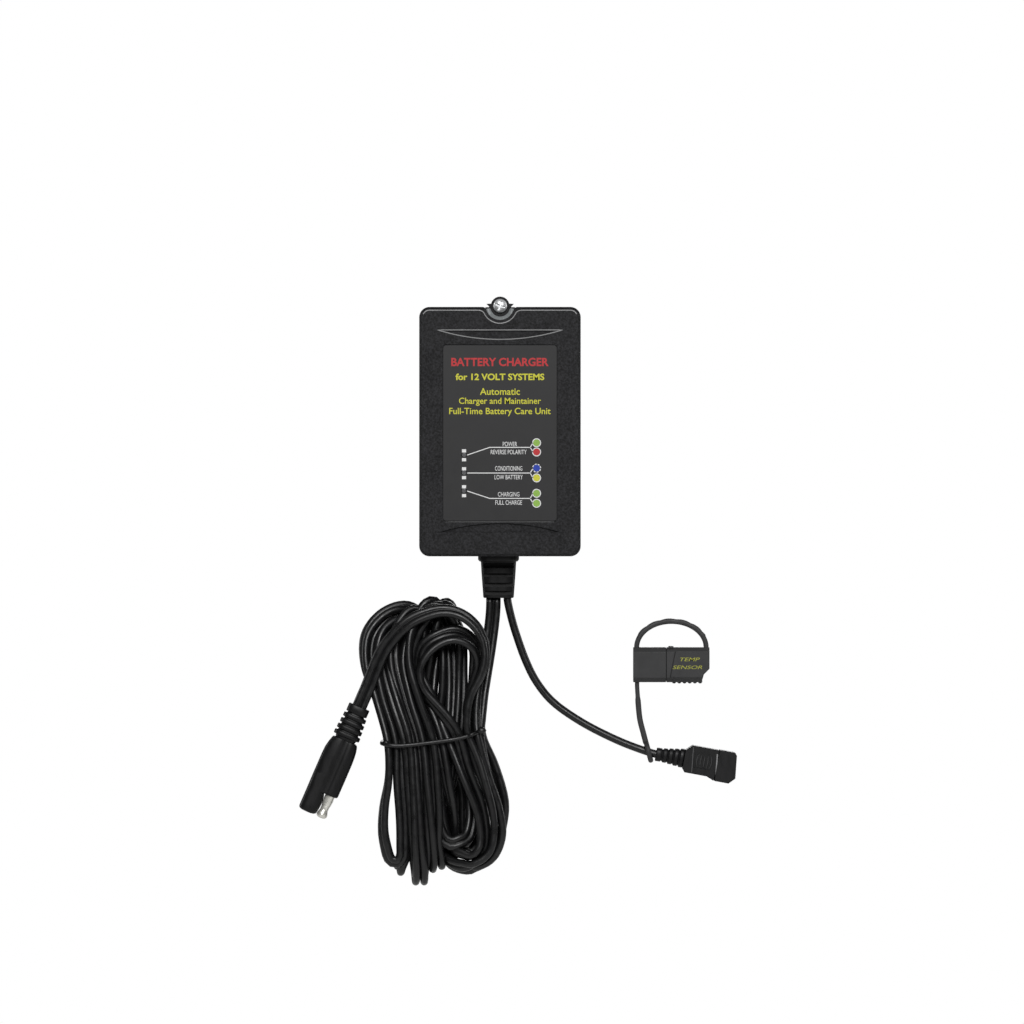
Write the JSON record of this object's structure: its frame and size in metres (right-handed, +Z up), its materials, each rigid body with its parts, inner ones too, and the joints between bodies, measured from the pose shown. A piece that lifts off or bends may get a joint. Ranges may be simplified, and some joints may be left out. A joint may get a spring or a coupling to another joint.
{
  "type": "plug-in battery charger",
  "caption": "Wall plug-in 12 V battery charger with status lights, strain relief, tied output lead with two-pole plug, and a tethered temperature sensor.",
  "frame": {"origin": "back face of the case, midway between the two mains blades", "axes": "+Y out of the back face into the wall, +Z up, +X to the right seen from the front"},
  "size_m": [0.1723, 0.064, 0.2325],
  "materials": {
    "case_plastic": "fine-grained black moulding",
    "label_film": "smooth dark grey film",
    "cord_rubber": "satin black vinyl",
    "boot_rubber": "matte black moulding",
    "tag_plastic": "matte dark grey moulding",
    "zinc": "bright zinc plate",
    "nickel": "bright nickel plate",
    "contact_brass": "bare",
    "screw_steel": "plain",
    "smoked_lens": "clear smoke",
    "board_laminate": "green solder mask",
    "ferrite": "dark ceramic and epoxy",
    "coil_tape": "yellow tape",
    "can_sleeve": "dark blue sleeve",
    "heat_sink_metal": "plain",
    "coil_copper": "enamelled copper wire",
    "white_plastic": "plain",
    "red_insulation": "plain"
  },
  "bodies": {
    "charger": {"front_case": "case_plastic", "rear_case": "case_plastic", "case_screw_1": "screw_steel", "case_screw_2": "screw_steel", "case_screw_3": "screw_steel", "case_screw_4": "screw_steel", "label": "label_film", "blade_1": "nickel", "blade_2": "nickel", "blade_carrier": "white_plastic", "circuit_board": "board_laminate", "board_screw_1": "screw_steel", "board_screw_2": "screw_steel", "transformer_core": "ferrite", "transformer_coil": "coil_tape", "bulk_capacitor": "can_sleeve", "output_capacitor_1": "can_sleeve", "output_capacitor_2": "can_sleeve", "heat_sink": "heat_sink_metal", "power_transistor": "ferrite", "choke": "coil_copper", "fuse": "white_plastic", "controller_chip": "ferrite", "led_1": "smoked_lens", "led_2": "smoked_lens", "led_3": "smoked_lens", "light_pipe_1": "smoked_lens", "light_pipe_2": "smoked_lens", "light_pipe_3": "smoked_lens", "mains_wire_1": "white_plastic", "mains_wire_2": "red_insulation", "output_wire_1": "cord_rubber", "output_wire_2": "red_insulation", "sensor_wire": "white_plastic", "strain_relief": "boot_rubber", "output_lead_upper": "cord_rubber", "output_lead_hank": "cord_rubber", "output_lead_tail": "cord_rubber", "cord_tie": "cord_rubber", "plug_boot": "boot_rubber", "plug_body": "boot_rubber", "plug_pin": "nickel", "plug_socket": "nickel", "sensor_lead": "cord_rubber", "sensor_boot": "boot_rubber", "sensor_connector_body": "boot_rubber", "sensor_connector_nose": "boot_rubber", "sensor_contact_1": "contact_brass", "sensor_contact_2": "contact_brass"},
    "sensor_cap_body": {"sensor_cap": "tag_plastic", "loop_strap": "tag_plastic", "tether": "tag_plastic"},
    "sensor_module_body": {"sensor_module": "tag_plastic", "sensor_bead": "contact_brass"},
    "mounting_screw_body": {"mounting_screw": "zinc"}
  },
  "joints": [
    {"name": "sensor_swing", "type": "hinge", "parent": "charger", "child": "sensor_cap_body", "pos_m": [0.0584, -0.022, -0.1606], "axis": [0.9545, 0, -0.2983], "range_deg": [-20, 100]},
    {"name": "sensor_pull", "type": "slide", "parent": "sensor_cap_body", "child": "sensor_module_body", "axis": [1, 0, 0], "range_m": [0, 0.008], "deforming": ["loop_strap"]},
    {"name": "mounting_screw_turn", "type": "hinge", "parent": "charger", "child": "mounting_screw_body", "pos_m": [0, 0, 0.0154], "axis": [0, -1, 0], "continuous": true}
  ]
}
